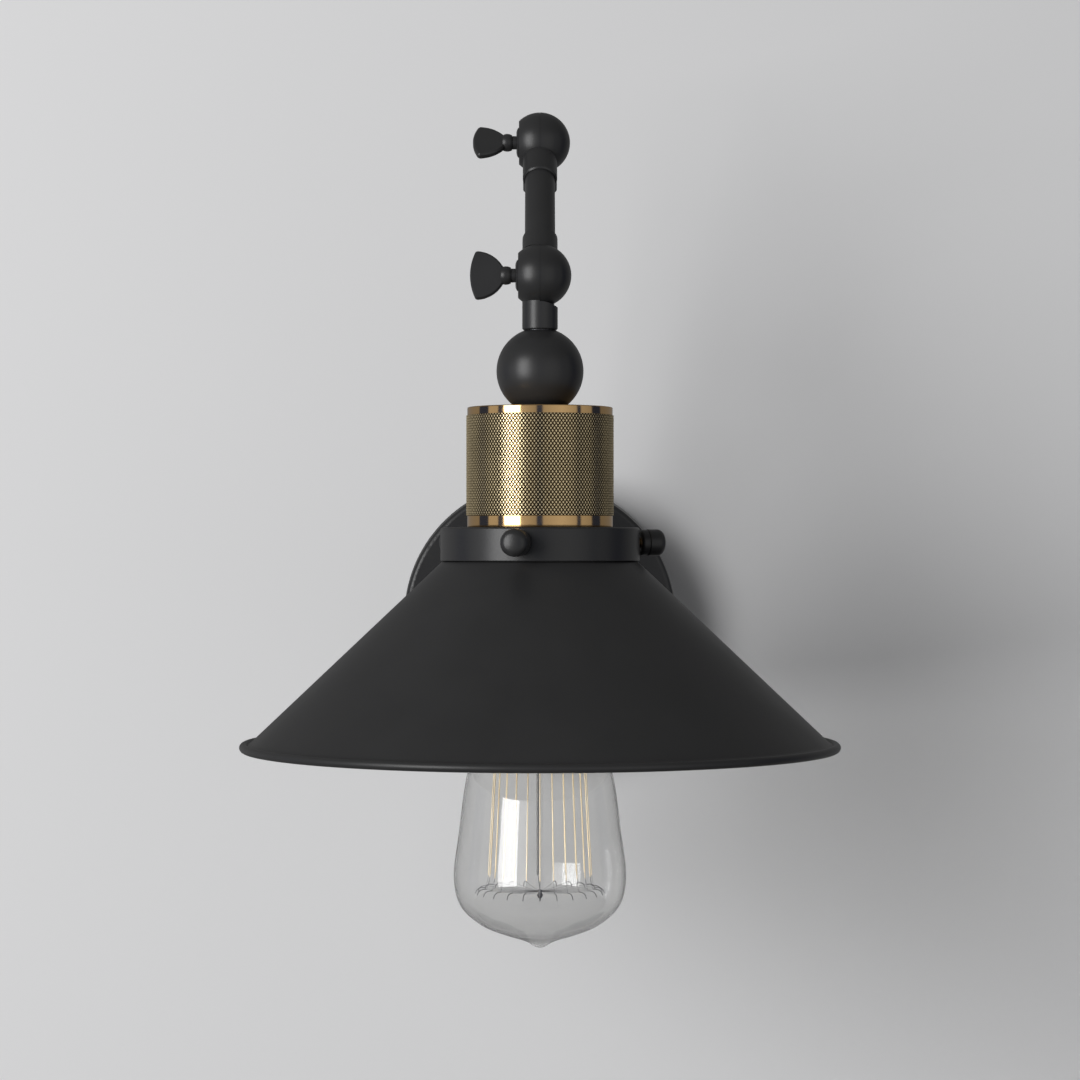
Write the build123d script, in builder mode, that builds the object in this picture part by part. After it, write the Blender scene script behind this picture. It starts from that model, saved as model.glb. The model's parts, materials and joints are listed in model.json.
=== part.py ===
from build123d import *

import os
from math import cos, hypot, radians, sin, sqrt

os.makedirs("parts", exist_ok=True)

# Swing arm wall sconce, in millimetres. +Z is up and +Y points into the wall.
# The origin is the middle of the canopy's back face, where it lies on the wall.

# ---- driving dimensions ----------------------------------------------------------

# joint centres, all in the plane X = 0
BASE_PIVOT = Vector(0, -45.0, 0)
ELBOW_PIVOT = Vector(0, -149.2, 189.3)
HEAD_PIVOT = Vector(0, -198.0, 133.0)

# ball knuckles
BALL_R = 11.75
BALL_FLAT = 8.2  # distance from the ball's centre to the flat under the wing screw
SPLIT_GAP = 0.05  # each half of a ball stops this far from the plane that splits it
SWEEP_CLEARANCE = 0.3  # between a half ball and the collar of the other arm
COLLAR_R = 6.65
COLLAR_REACH = 20.0  # from the ball's centre to the collar's end
LONG_COLLAR_REACH = 21.6  # the collar just under the elbow
CHANNEL_IN_R = 4.6  # ring-shaped wire channel round the clamping screw
CHANNEL_OUT_R = 8.6
CHANNEL_DEPTH = 4.6
WIRE_BORE_R = 2.6
FIT = 0.05  # radial clearance of a running or slip fit

# arm tubes
TUBE_R = 5.75
TUBE_WALL = 1.25
SOCKET_FLOOR = 13.5  # from the ball's centre to the seat of the tube in its collar

# wing screws
SHANK_R = 2.5
SHANK_TIP = 7.2  # how far the shank passes the ball's centre
CAP_WASHER_R = 5.8
CAP_WASHER_FACE = 9.2
BEAD_START = 10.9
BEAD_END = 14.6
BEAD_R = 3.45
WING_END = 26.2
WING_NECK = 3.2  # half heights of the wing
WING_TIP = 9.2
WING_BULGE = 1.8  # how far each side bows out past a straight fan
WING_THICKNESS = 2.6
ELBOW_WING_TURN = 46.0
HEAD_WING_TURN = 8.0
BASE_WING_TURN = 25.0

# wall canopy and its hardware
CANOPY_R = 60.0
CANOPY_FRONT_R = 58.6
CANOPY_DEPTH = 25.0
CANOPY_EDGE = 2.2
SHEET = 1.2
BAR_LENGTH = 104.0
BAR_WIDTH = 20.0
BAR_THICKNESS = 2.0
SLOT_LENGTH = 20.0
SLOT_R = 2.3
SLOT_SPACING = 76.0
CANOPY_SCREW_X = 35.0
CANOPY_SCREW_R = 2.0
HUB_R = 11.0
HUB_THICKNESS = 3.6
HUB_SPIGOT_R = 6.2
HUB_GAP = 0.3  # between the bush and the base knuckle's collar
BAR_CORNER_R = 4.0
BAR_SCREW_R = 2.5
BAR_SCREW_HEAD_R = 4.6
BAR_SCREW_HEAD = 2.6
GROUND_SCREW_PLACE = (-18, 4)
GROUND_SCREW_R = 1.75
GROUND_SCREW_HEAD_R = 3.9
GROUND_SCREW_HEAD = 2.4
CAP_NUT_R = 5.5
CAP_NUT_HEIGHT = 8.0
CAP_NUT_DOME = 3.6
CAP_NUT_BORE = 5.5  # how deep the screw's hole goes in
NUT_R = 8.0  # of the hexagon's corners
NUT_HEIGHT = 4.0
SPRING_WASHER_R = 8.5
SPRING_WASHER_THICKNESS = 1.0
NIPPLE_R = 4.75
NIPPLE_BORE_R = 3.2
NIPPLE_SEAT = 12.3  # from a ball's centre to the end of the nipple in its collar
SWIVEL_NIPPLE_BACK_Y = -14.0
HEAD_NIPPLE_FOOT_Z = 62.0

# lamp head, along the vertical axis through the head pivot
HEAD_BALL_Z = 97.2
HEAD_BALL_R = 16.3
STEM_END_Z = 112.56
CUP_TOP_Z = 83.6
CUP_BOTTOM_Z = 38.7
CUP_BAND_R = 27.2
CUP_KNURL_R = 27.6
CUP_INNER_R = 25.0
CUP_TOP_BAND = 3.1
CUP_BOTTOM_BAND = 4.5
CUP_SEAT_THICKNESS = 4.6
RING_R = 37.25
RING_WALL = 1.6
RING_BOTTOM_Z = 26.2
SHADE_NECK_R = 34.6
SHADE_NECK_TOP_Z = 36.0
SHADE_SHOULDER_R = 36.9
SHADE_SHOULDER_Z = 25.75
SHADE_FOOT_R = 107.5
SHADE_FOOT_Z = -41.2
SHADE_SHEET = 1.0
RIM_BEAD_R = 1.6
RIM_BEAD_CENTRE_R = 110.5
RIM_BEAD_Z = -43.0

# thumbscrews that hold the shade, at these angles from the front towards +X
THUMB_ANGLES = {"front": -11.6, "right": 108.0, "left": -132.0}
THUMB_Z = 33.0
THUMB_STUD_R = 2.0
THUMB_STUD_START = 34.75
THUMB_KNOB_START = 39.4
THUMB_KNOB_END = 49.3
THUMB_KNOB_R = 5.05
THUMB_GROOVE_START = 42.2
THUMB_GROOVE_WIDTH = 0.5
THUMB_GROOVE_DEPTH = 0.3
THUMB_HOLE_DEPTH = 4.0

# lampholder and bulb
HOLDER_R = 18.9
HOLDER_SHOULDER_R = 20.5
HOLDER_TOP_Z = 60.0
HOLDER_BOTTOM_Z = 1.0
HOLDER_CAP_TOP_Z = 73.0
HOLDER_FLOOR_Z = 27.0  # of the cavity for the bulb's cap
HOLDER_RING_R = 24.0
HOLDER_RING_BOTTOM_Z = 31.5
CONTACT_Z = 26.0
SCREW_SHELL_R = 13.15
SCREW_SHELL_WALL = 0.5
BULB_CAP_R = 13.1
BULB_THREAD_PITCH = 3.6
BULB_THREAD_TURNS = 5
BULB_THREAD_DEPTH = 0.9
BULB_THREAD_START_Z = 2.4
BULB_CONTACT_R = 4.4
BULB_CONTACT_HEIGHT = 0.9
BULB_NECK_R = 12.5
BULB_NECK_TOP_Z = 1.6
BULB_TOP_Z = 23.0
BULB_WIDEST_R = 32.2
BULB_WIDEST_Z = -93.0
BULB_TIP_Z = -118.6
# radius and height along the envelope, above and below its widest place
SHOULDER_POINTS = [(15.2, -16.0), (21.4, -34.0), (27.3, -54.0), (30.3, -75.0)]
FOOT_POINTS = [(29.8, -102.6), (22.4, -109.6), (13.6, -113.4), (7.6, -115.3), (4.0, -117.5)]
GLASS_WALL = 1.0
STRANDS = 24
STRAND_R = 0.22
CAGE_TOP_R = 16.4
CAGE_FOOT_R = 19.6
CAGE_ROD_R = 0.45
WIRE_R = 0.2
HUB_TOP_Z = -36.0
HUB_FOOT_Z = -97.6
WIRE_HUB_R = 3.6
WIRE_HUB_HEIGHT = 1.4

# ---- derived places ----------------------------------------------------------------

ACROSS = Vector(1, 0, 0)
UP = Vector(0, 0, 1)
REAR_ARM = ELBOW_PIVOT - BASE_PIVOT
FRONT_ARM = HEAD_PIVOT - ELBOW_PIVOT
REAR_DIRECTION = REAR_ARM.normalized()
FRONT_DIRECTION = FRONT_ARM.normalized()
LAMP_Y = HEAD_PIVOT.Y
LAMP_PROFILE = Plane(origin=(0, LAMP_Y, 0), x_dir=(1, 0, 0), z_dir=(0, -1, 0))
LAMP_AXIS = Axis((0, LAMP_Y, 0), (0, 0, 1))
WALL_AXIS = Axis((0, 0, 0), (0, 1, 0))
CANOPY_SCREW_PLACES = [(-CANOPY_SCREW_X, 0), (CANOPY_SCREW_X, 0)]
# on this plane the first coordinate is the radius and the second is the depth from the wall
WALL_PROFILE = Plane(origin=(0, 0, 0), x_dir=(1, 0, 0), z_dir=(0, 0, 1))


def across_plane(pivot, x):
    """Plane square to X, x millimetres from a pivot, that faces +X."""
    return Plane(origin=pivot + ACROSS * x, x_dir=(0, 1, 0), z_dir=(1, 0, 0))


def lamp_plane(z):
    """Level plane at height z, centred on the lamp's axis."""
    return Plane(origin=(0, LAMP_Y, z), x_dir=(1, 0, 0), z_dir=(0, 0, 1))


def wall_plane(y):
    """Plane parallel to the wall at depth y, that faces the room."""
    return Plane(origin=(0, y, 0), x_dir=(1, 0, 0), z_dir=(0, -1, 0))


def finish(builder, name):
    """Name a finished piece and write it."""
    builder.part.label = name
    export_step(builder.part, f"parts/{name}.step")


# ---- ball knuckles -----------------------------------------------------------------


def knuckle(name, side, pivot, direction, reach, socket_r, socket_floor):
    """One half of a ball joint with its arm's collar.

    side is -1 for the clamped half at -X, and +1 for the tapped half at +X.
    The collar leaves the ball along direction.
    """
    profile = Plane(origin=pivot, x_dir=ACROSS, z_dir=ACROSS.cross(direction))
    along = Plane(origin=pivot, x_dir=ACROSS, z_dir=direction)
    inner_x = side * SPLIT_GAP
    outer_x = -BALL_FLAT if side < 0 else BALL_R
    outer_h = sqrt(BALL_R**2 - outer_x**2)
    middle_x = side * BALL_R * sin(radians(22))
    with BuildPart() as half:
        with BuildSketch(along):
            Circle(COLLAR_R)
        extrude(amount=reach)
        far_edge = half.edges().filter_by(GeomType.CIRCLE).sort_by(Axis(pivot, direction))[-1]
        chamfer(far_edge, length=0.5)
        # room for the other half ball to turn past this collar
        with BuildSketch(across_plane(pivot, inner_x)):
            Circle(BALL_R + SWEEP_CLEARANCE)
        extrude(amount=-side * BALL_R, mode=Mode.SUBTRACT)
        with BuildSketch(profile):
            with BuildLine():
                Line((inner_x, 0), (inner_x, sqrt(BALL_R**2 - inner_x**2)))
                ThreePointArc(
                    (inner_x, sqrt(BALL_R**2 - inner_x**2)),
                    (middle_x, BALL_R * cos(radians(22))),
                    (outer_x, outer_h),
                )
                if side < 0:
                    Line((outer_x, outer_h), (outer_x, 0))
                Line((outer_x, 0), (inner_x, 0))
            make_face()
        revolve(axis=Axis(pivot, ACROSS))
        # wire channel round the screw, the washer's recess and the screw's hole
        with BuildSketch(across_plane(pivot, inner_x)):
            Circle(CHANNEL_OUT_R)
            Circle(CHANNEL_IN_R, mode=Mode.SUBTRACT)
        extrude(amount=side * CHANNEL_DEPTH, mode=Mode.SUBTRACT)
        with BuildSketch(across_plane(pivot, inner_x)):
            Circle(CHANNEL_IN_R)
        extrude(amount=side * 0.35, mode=Mode.SUBTRACT)
        hole_depth = BALL_FLAT if side < 0 else SHANK_TIP + 0.8
        with BuildSketch(across_plane(pivot, inner_x)):
            Circle(SHANK_R + FIT)
        extrude(amount=side * hole_depth, mode=Mode.SUBTRACT)
        # wire bore along the collar, and the socket for the tube or nipple
        with BuildSketch(along.offset(CHANNEL_IN_R + 1.5)):
            Circle(WIRE_BORE_R)
        extrude(amount=reach, mode=Mode.SUBTRACT)
        with BuildSketch(along.offset(socket_floor)):
            Circle(socket_r)
        extrude(amount=reach, mode=Mode.SUBTRACT)
    finish(half, name)


knuckle(
    "base_knuckle", 1, BASE_PIVOT, Vector(0, 1, 0),
    -BASE_PIVOT.Y - CANOPY_DEPTH - HUB_THICKNESS - HUB_GAP, NIPPLE_R + FIT, NIPPLE_SEAT,
)
knuckle(
    "rear_arm_lower_knuckle", -1, BASE_PIVOT, REAR_DIRECTION,
    COLLAR_REACH, TUBE_R + FIT, SOCKET_FLOOR,
)
knuckle(
    "rear_arm_upper_knuckle", 1, ELBOW_PIVOT, -REAR_DIRECTION,
    COLLAR_REACH, TUBE_R + FIT, SOCKET_FLOOR,
)
knuckle(
    "front_arm_upper_knuckle", -1, ELBOW_PIVOT, FRONT_DIRECTION,
    LONG_COLLAR_REACH, TUBE_R + FIT, SOCKET_FLOOR,
)
knuckle(
    "front_arm_lower_knuckle", 1, HEAD_PIVOT, -FRONT_DIRECTION,
    COLLAR_REACH, TUBE_R + FIT, SOCKET_FLOOR,
)
knuckle(
    "head_knuckle", -1, HEAD_PIVOT, -UP,
    HEAD_PIVOT.Z - STEM_END_Z, NIPPLE_R + FIT, NIPPLE_SEAT,
)

# friction washers between the halves, carried by the tapped half
for joint, pivot in (("base", BASE_PIVOT), ("elbow", ELBOW_PIVOT), ("head", HEAD_PIVOT)):
    with BuildPart() as friction_washer:
        with BuildSketch(across_plane(pivot, -SPLIT_GAP - 0.3)):
            Circle(CHANNEL_IN_R - 0.1)
            Circle(SHANK_R + FIT, mode=Mode.SUBTRACT)
        extrude(amount=2 * SPLIT_GAP + 0.3 + 0.35)
    finish(friction_washer, f"{joint}_friction_washer")
    # slightly domed washer under the wing screw
    with BuildPart() as cap_washer:
        with BuildSketch(Plane(origin=pivot, x_dir=ACROSS, z_dir=(0, -1, 0))):
            with BuildLine():
                Polyline(
                    (-CAP_WASHER_FACE, SHANK_R + 1.2), (-CAP_WASHER_FACE, SHANK_R + FIT),
                    (-BALL_FLAT, SHANK_R + FIT), (-BALL_FLAT, CAP_WASHER_R),
                    (-BALL_FLAT - 0.3, CAP_WASHER_R),
                )
                ThreePointArc(
                    (-BALL_FLAT - 0.3, CAP_WASHER_R),
                    (-BALL_FLAT - 0.75, (CAP_WASHER_R + SHANK_R + 1.8) / 2),
                    (-CAP_WASHER_FACE, SHANK_R + 1.2),
                )
            make_face()
        revolve(axis=Axis(pivot, ACROSS))
    finish(cap_washer, f"{joint}_cap_washer")


# ---- arm tubes ---------------------------------------------------------------------


def arm_tube(name, start, span):
    """Tube between the sockets of two knuckles whose balls are span apart."""
    along = Plane(origin=start, x_dir=ACROSS, z_dir=span)
    with BuildPart() as tube:
        with BuildSketch(along.offset(SOCKET_FLOOR)):
            Circle(TUBE_R)
            Circle(TUBE_R - TUBE_WALL, mode=Mode.SUBTRACT)
        extrude(amount=span.length - 2 * SOCKET_FLOOR)
    finish(tube, name)


arm_tube("rear_arm_tube", BASE_PIVOT, REAR_ARM)
arm_tube("front_arm_tube", ELBOW_PIVOT, FRONT_ARM)


# ---- wing screws -------------------------------------------------------------------


def wing_screw(name, pivot, turn):
    """Clamping screw along X, with its fan-shaped wing turned about X from upright."""
    height = Vector(0, sin(radians(turn)), cos(radians(turn)))
    flat = Plane(origin=pivot, x_dir=ACROSS, z_dir=ACROSS.cross(height))
    neck_x = -CAP_WASHER_FACE - 0.1
    wing_root = -BEAD_END + 0.8
    corner_x = -WING_END + 2.2
    side_x = (wing_root + corner_x) / 2
    side_h = (WING_NECK + WING_TIP) / 2 + WING_BULGE
    with BuildPart() as screw:
        with BuildSketch(flat):
            with BuildLine():
                Polyline(
                    (SHANK_TIP, 0), (SHANK_TIP, SHANK_R - 0.5), (SHANK_TIP - 0.5, SHANK_R),
                    (neck_x, SHANK_R), (neck_x, SHANK_R + 0.1), (-BEAD_START, SHANK_R + 0.1),
                    (-BEAD_START, BEAD_R - 0.5),
                )
                ThreePointArc(
                    (-BEAD_START, BEAD_R - 0.5),
                    (-(BEAD_START + BEAD_END) / 2, BEAD_R),
                    (-BEAD_END, BEAD_R - 0.5),
                )
                Polyline((-BEAD_END, BEAD_R - 0.5), (-BEAD_END, 0), (SHANK_TIP, 0))
            make_face()
        revolve(axis=Axis(pivot, ACROSS))
        with BuildSketch(flat) as wing:
            with BuildLine():
                Line((wing_root, -WING_NECK), (wing_root, WING_NECK))
                ThreePointArc((wing_root, WING_NECK), (side_x, side_h), (corner_x, WING_TIP))
                ThreePointArc((corner_x, WING_TIP), (-WING_END, 0), (corner_x, -WING_TIP))
                ThreePointArc((corner_x, -WING_TIP), (side_x, -side_h), (wing_root, -WING_NECK))
            make_face()
            fillet(wing.vertices().sort_by(Axis.X)[:2], radius=1.2)
        extrude(amount=WING_THICKNESS / 2, both=True)
        wing_faces = screw.faces().filter_by(Axis((0, 0, 0), flat.z_dir)).sort_by(SortBy.AREA)[-2:]
        chamfer(wing_faces.edges().filter_by(lambda e: e.center().X < -BEAD_END), length=0.6)
    finish(screw, name)


wing_screw("base_wing_screw", BASE_PIVOT, BASE_WING_TURN)
wing_screw("elbow_wing_screw", ELBOW_PIVOT, ELBOW_WING_TURN)
wing_screw("head_wing_screw", HEAD_PIVOT, HEAD_WING_TURN)

# ---- wall canopy and its hardware ----------------------------------------------------

with BuildPart() as canopy:
    with BuildSketch(WALL_PROFILE):
        with BuildLine():
            Polyline(
                (0, -CANOPY_DEPTH), (CANOPY_FRONT_R, -CANOPY_DEPTH), (CANOPY_R, 0),
                (CANOPY_R - SHEET, 0), (CANOPY_FRONT_R - SHEET, SHEET - CANOPY_DEPTH),
                (0, SHEET - CANOPY_DEPTH), (0, -CANOPY_DEPTH),
            )
        make_face()
    revolve(axis=WALL_AXIS)
    front_edges = canopy.edges().filter_by(GeomType.CIRCLE).group_by(Axis.Y)
    fillet(front_edges[0], radius=CANOPY_EDGE)
    with BuildSketch(wall_plane(0)):
        Circle(HUB_SPIGOT_R + 0.1)
        with Locations(*CANOPY_SCREW_PLACES):
            Circle(CANOPY_SCREW_R + 0.3)
    extrude(amount=CANOPY_DEPTH, mode=Mode.SUBTRACT)
finish(canopy, "canopy")

# flanged bush between the canopy and the base knuckle
with BuildPart() as hub_bush:
    with BuildSketch(wall_plane(-CANOPY_DEPTH)):
        Circle(HUB_R)
    extrude(amount=HUB_THICKNESS)
    fillet(hub_bush.edges().filter_by(GeomType.CIRCLE).sort_by(Axis.Y)[0], radius=1.4)
    with BuildSketch(wall_plane(SHEET - CANOPY_DEPTH)):
        Circle(HUB_SPIGOT_R)
    extrude(amount=SHEET)
    with BuildSketch(wall_plane(0)):
        Circle(NIPPLE_R + FIT)
    extrude(amount=2 * CANOPY_DEPTH, mode=Mode.SUBTRACT)
finish(hub_bush, "hub_bush")

# threaded nipple of the base knuckle, which turns in the bush
with BuildPart() as swivel_nipple:
    with BuildSketch(wall_plane(SWIVEL_NIPPLE_BACK_Y)):
        Circle(NIPPLE_R)
        Circle(NIPPLE_BORE_R, mode=Mode.SUBTRACT)
    extrude(amount=SWIVEL_NIPPLE_BACK_Y - BASE_PIVOT.Y - NIPPLE_SEAT)
finish(swivel_nipple, "swivel_nipple")

washer_back_y = SHEET - CANOPY_DEPTH + 0.2 + SPRING_WASHER_THICKNESS
with BuildPart() as spring_washer:
    with BuildSketch(wall_plane(washer_back_y)):
        Circle(SPRING_WASHER_R)
        Circle(NIPPLE_R + FIT, mode=Mode.SUBTRACT)
    extrude(amount=SPRING_WASHER_THICKNESS)
finish(spring_washer, "swivel_washer")

with BuildPart() as swivel_nut:
    with BuildSketch(wall_plane(washer_back_y + NUT_HEIGHT)):
        RegularPolygon(radius=NUT_R, side_count=6)
        Circle(NIPPLE_R + FIT, mode=Mode.SUBTRACT)
    extrude(amount=NUT_HEIGHT)
finish(swivel_nut, "swivel_nut")

# upright bar that is screwed to the outlet box
with BuildPart() as box_bar:
    with BuildSketch(wall_plane(0)):
        RectangleRounded(BAR_WIDTH, BAR_LENGTH, BAR_CORNER_R)
        with Locations((0, -SLOT_SPACING / 2), (0, SLOT_SPACING / 2)):
            SlotOverall(SLOT_LENGTH, 2 * SLOT_R, rotation=90, mode=Mode.SUBTRACT)
    extrude(amount=BAR_THICKNESS)
    with BuildSketch(wall_plane(-BAR_THICKNESS)):
        Circle(BAR_SCREW_R + FIT)
    extrude(amount=0.6 - BAR_THICKNESS, mode=Mode.SUBTRACT)
finish(box_bar, "box_bar")

# level bar that carries the canopy's screws
with BuildPart() as canopy_bar:
    with BuildSketch(wall_plane(-BAR_THICKNESS)):
        RectangleRounded(BAR_LENGTH, BAR_WIDTH, BAR_CORNER_R)
        with Locations(*CANOPY_SCREW_PLACES):
            Circle(CANOPY_SCREW_R + FIT, mode=Mode.SUBTRACT)
        with Locations(GROUND_SCREW_PLACE):
            Circle(GROUND_SCREW_R + FIT, mode=Mode.SUBTRACT)
        Circle(BAR_SCREW_R + FIT, mode=Mode.SUBTRACT)
    extrude(amount=BAR_THICKNESS)
finish(canopy_bar, "canopy_bar")

with BuildPart() as bar_screw:
    with BuildSketch(wall_plane(-0.6)):
        Circle(BAR_SCREW_R)
    extrude(amount=2 * BAR_THICKNESS - 0.6)
    with BuildSketch(wall_plane(-2 * BAR_THICKNESS)):
        Circle(BAR_SCREW_HEAD_R)
    extrude(amount=BAR_SCREW_HEAD)
    fillet(bar_screw.edges().filter_by(GeomType.CIRCLE).sort_by(Axis.Y)[0], radius=1.2)
    with BuildSketch(wall_plane(-2 * BAR_THICKNESS - BAR_SCREW_HEAD)):
        Rectangle(7, 1.0)
    extrude(amount=-1.0, mode=Mode.SUBTRACT)
finish(bar_screw, "bar_screw")

with BuildPart() as ground_screw:
    with BuildSketch(wall_plane(-BAR_THICKNESS - 0.2)):
        with Locations(GROUND_SCREW_PLACE):
            Circle(GROUND_SCREW_R)
    extrude(amount=BAR_THICKNESS - 0.2)
    with BuildSketch(wall_plane(-2 * BAR_THICKNESS)):
        with Locations(GROUND_SCREW_PLACE):
            RegularPolygon(radius=GROUND_SCREW_HEAD_R, side_count=6)
    extrude(amount=GROUND_SCREW_HEAD)
    with BuildSketch(wall_plane(-2 * BAR_THICKNESS - GROUND_SCREW_HEAD)):
        with Locations(GROUND_SCREW_PLACE):
            Rectangle(5, 0.8)
    extrude(amount=-0.8, mode=Mode.SUBTRACT)
finish(ground_screw, "ground_screw")

with BuildPart() as canopy_screws:
    with BuildSketch(wall_plane(-BAR_THICKNESS - 0.2)):
        with Locations(*CANOPY_SCREW_PLACES):
            Circle(CANOPY_SCREW_R)
    extrude(amount=CANOPY_DEPTH + CAP_NUT_BORE - 0.5 - BAR_THICKNESS)
finish(canopy_screws, "canopy_screws")

with BuildPart() as cap_nuts:
    with BuildSketch(wall_plane(-CANOPY_DEPTH)):
        with Locations(*CANOPY_SCREW_PLACES):
            Circle(CAP_NUT_R)
    extrude(amount=CAP_NUT_HEIGHT)
    fillet(cap_nuts.edges().filter_by(GeomType.CIRCLE).group_by(Axis.Y)[0], radius=CAP_NUT_DOME)
    with BuildSketch(wall_plane(-CANOPY_DEPTH)):
        with Locations(*CANOPY_SCREW_PLACES):
            Circle(CANOPY_SCREW_R + FIT)
    extrude(amount=CAP_NUT_BORE, mode=Mode.SUBTRACT)
finish(cap_nuts, "cap_nuts")

# ---- lamp head -----------------------------------------------------------------------

with BuildPart() as head_ball:
    with BuildSketch(LAMP_PROFILE, mode=Mode.PRIVATE) as ball_hollow:
        with Locations((0, HEAD_BALL_Z)):
            Circle(HEAD_BALL_R - 3.0)
            Rectangle(18, 2 * HEAD_BALL_R, mode=Mode.SUBTRACT)
    with BuildSketch(LAMP_PROFILE):
        with Locations((0, HEAD_BALL_Z)):
            Circle(HEAD_BALL_R)
        add(ball_hollow.sketch_local, mode=Mode.SUBTRACT)
        with Locations((0, STEM_END_Z - 0.2)):
            Rectangle(40, 10, align=(Align.CENTER, Align.MIN), mode=Mode.SUBTRACT)
        with Locations((NIPPLE_R + FIT, HEAD_BALL_Z)):
            Rectangle(60, 60, align=(Align.MAX, Align.CENTER), mode=Mode.SUBTRACT)
    revolve(axis=LAMP_AXIS)
finish(head_ball, "head_ball")

with BuildPart() as socket_cup:
    knurl_top = CUP_TOP_Z - CUP_TOP_BAND
    knurl_bottom = CUP_BOTTOM_Z + CUP_BOTTOM_BAND
    with BuildSketch(LAMP_PROFILE):
        with BuildLine():
            Polyline(
                (NIPPLE_R + FIT, CUP_TOP_Z), (CUP_BAND_R - 0.5, CUP_TOP_Z), (CUP_BAND_R, CUP_TOP_Z - 0.5),
                (CUP_BAND_R, knurl_top), (CUP_KNURL_R, knurl_top - 0.4),
                (CUP_KNURL_R, knurl_bottom + 0.4), (CUP_BAND_R, knurl_bottom),
                (CUP_BAND_R, CUP_BOTTOM_Z), (CUP_INNER_R, CUP_BOTTOM_Z),
                (CUP_INNER_R, CUP_TOP_Z - CUP_SEAT_THICKNESS),
                (NIPPLE_R + FIT, CUP_TOP_Z - CUP_SEAT_THICKNESS), (NIPPLE_R + FIT, CUP_TOP_Z),
            )
        make_face()
    revolve(axis=LAMP_AXIS)
    # spherical seat for the head ball
    with Locations((0, LAMP_Y, HEAD_BALL_Z)):
        Sphere(HEAD_BALL_R + FIT, mode=Mode.SUBTRACT)
finish(socket_cup, "socket_cup")

with BuildPart() as head_nipple:
    with BuildSketch(lamp_plane(HEAD_NIPPLE_FOOT_Z)):
        Circle(NIPPLE_R)
        Circle(NIPPLE_BORE_R, mode=Mode.SUBTRACT)
    extrude(amount=HEAD_PIVOT.Z - NIPPLE_SEAT - HEAD_NIPPLE_FOOT_Z)
finish(head_nipple, "head_nipple")

with BuildPart() as nipple_nut:
    with BuildSketch(lamp_plane(CUP_TOP_Z - CUP_SEAT_THICKNESS - NUT_HEIGHT)):
        RegularPolygon(radius=NUT_R, side_count=6)
        Circle(NIPPLE_R + FIT, mode=Mode.SUBTRACT)
    extrude(amount=NUT_HEIGHT)
finish(nipple_nut, "nipple_nut")

with BuildPart() as fitter_ring:
    plate_bottom = CUP_BOTTOM_Z - RING_WALL
    with BuildSketch(LAMP_PROFILE):
        with BuildLine():
            Polyline(
                (HOLDER_R + 0.2, CUP_BOTTOM_Z), (RING_R, CUP_BOTTOM_Z), (RING_R, RING_BOTTOM_Z),
                (RING_R - RING_WALL, RING_BOTTOM_Z), (RING_R - RING_WALL, plate_bottom),
                (HOLDER_R + 0.2, plate_bottom), (HOLDER_R + 0.2, CUP_BOTTOM_Z),
            )
        make_face()
    revolve(axis=LAMP_AXIS)
    top_rims = fitter_ring.edges().filter_by(GeomType.CIRCLE).group_by(Axis.Z)[-1]
    fillet(top_rims.sort_by(SortBy.RADIUS)[-1], radius=0.9)
    foot_rims = fitter_ring.edges().filter_by(GeomType.CIRCLE).group_by(Axis.Z)[0]
    fillet(foot_rims.sort_by(SortBy.RADIUS)[-1], radius=0.4)
    for angle in THUMB_ANGLES.values():
        outward = Vector(sin(radians(angle)), -cos(radians(angle)), 0)
        with BuildSketch(Plane(origin=Vector(0, LAMP_Y, THUMB_Z), x_dir=UP, z_dir=outward)):
            Circle(THUMB_STUD_R + FIT)
        extrude(amount=RING_R + 5, mode=Mode.SUBTRACT)
finish(fitter_ring, "fitter_ring")

with BuildPart() as shade:
    run = SHADE_FOOT_R - SHADE_SHOULDER_R
    fall = SHADE_SHOULDER_Z - SHADE_FOOT_Z
    slant = hypot(run, fall)
    inset_r = SHADE_SHEET * fall / slant
    inset_z = SHADE_SHEET * run / slant
    with BuildSketch(LAMP_PROFILE):
        with BuildLine():
            Polyline(
                (SHADE_NECK_R, SHADE_NECK_TOP_Z), (SHADE_NECK_R, SHADE_SHOULDER_Z),
                (SHADE_SHOULDER_R, SHADE_SHOULDER_Z), (SHADE_FOOT_R, SHADE_FOOT_Z),
                (SHADE_FOOT_R + 1.0, SHADE_FOOT_Z - 1.4), (RIM_BEAD_CENTRE_R, RIM_BEAD_Z),
                (RIM_BEAD_CENTRE_R, RIM_BEAD_Z - RIM_BEAD_R + 0.2),
                (SHADE_FOOT_R, SHADE_FOOT_Z - 2.6), (SHADE_FOOT_R - inset_r, SHADE_FOOT_Z - inset_z),
                (SHADE_SHOULDER_R - inset_r, SHADE_SHOULDER_Z - inset_z),
                (SHADE_NECK_R - SHADE_SHEET, SHADE_SHOULDER_Z - inset_z),
                (SHADE_NECK_R - SHADE_SHEET, SHADE_NECK_TOP_Z), (SHADE_NECK_R, SHADE_NECK_TOP_Z),
            )
        make_face()
        with Locations((RIM_BEAD_CENTRE_R, RIM_BEAD_Z)):
            Circle(RIM_BEAD_R)
    revolve(axis=LAMP_AXIS)
finish(shade, "shade")

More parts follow.
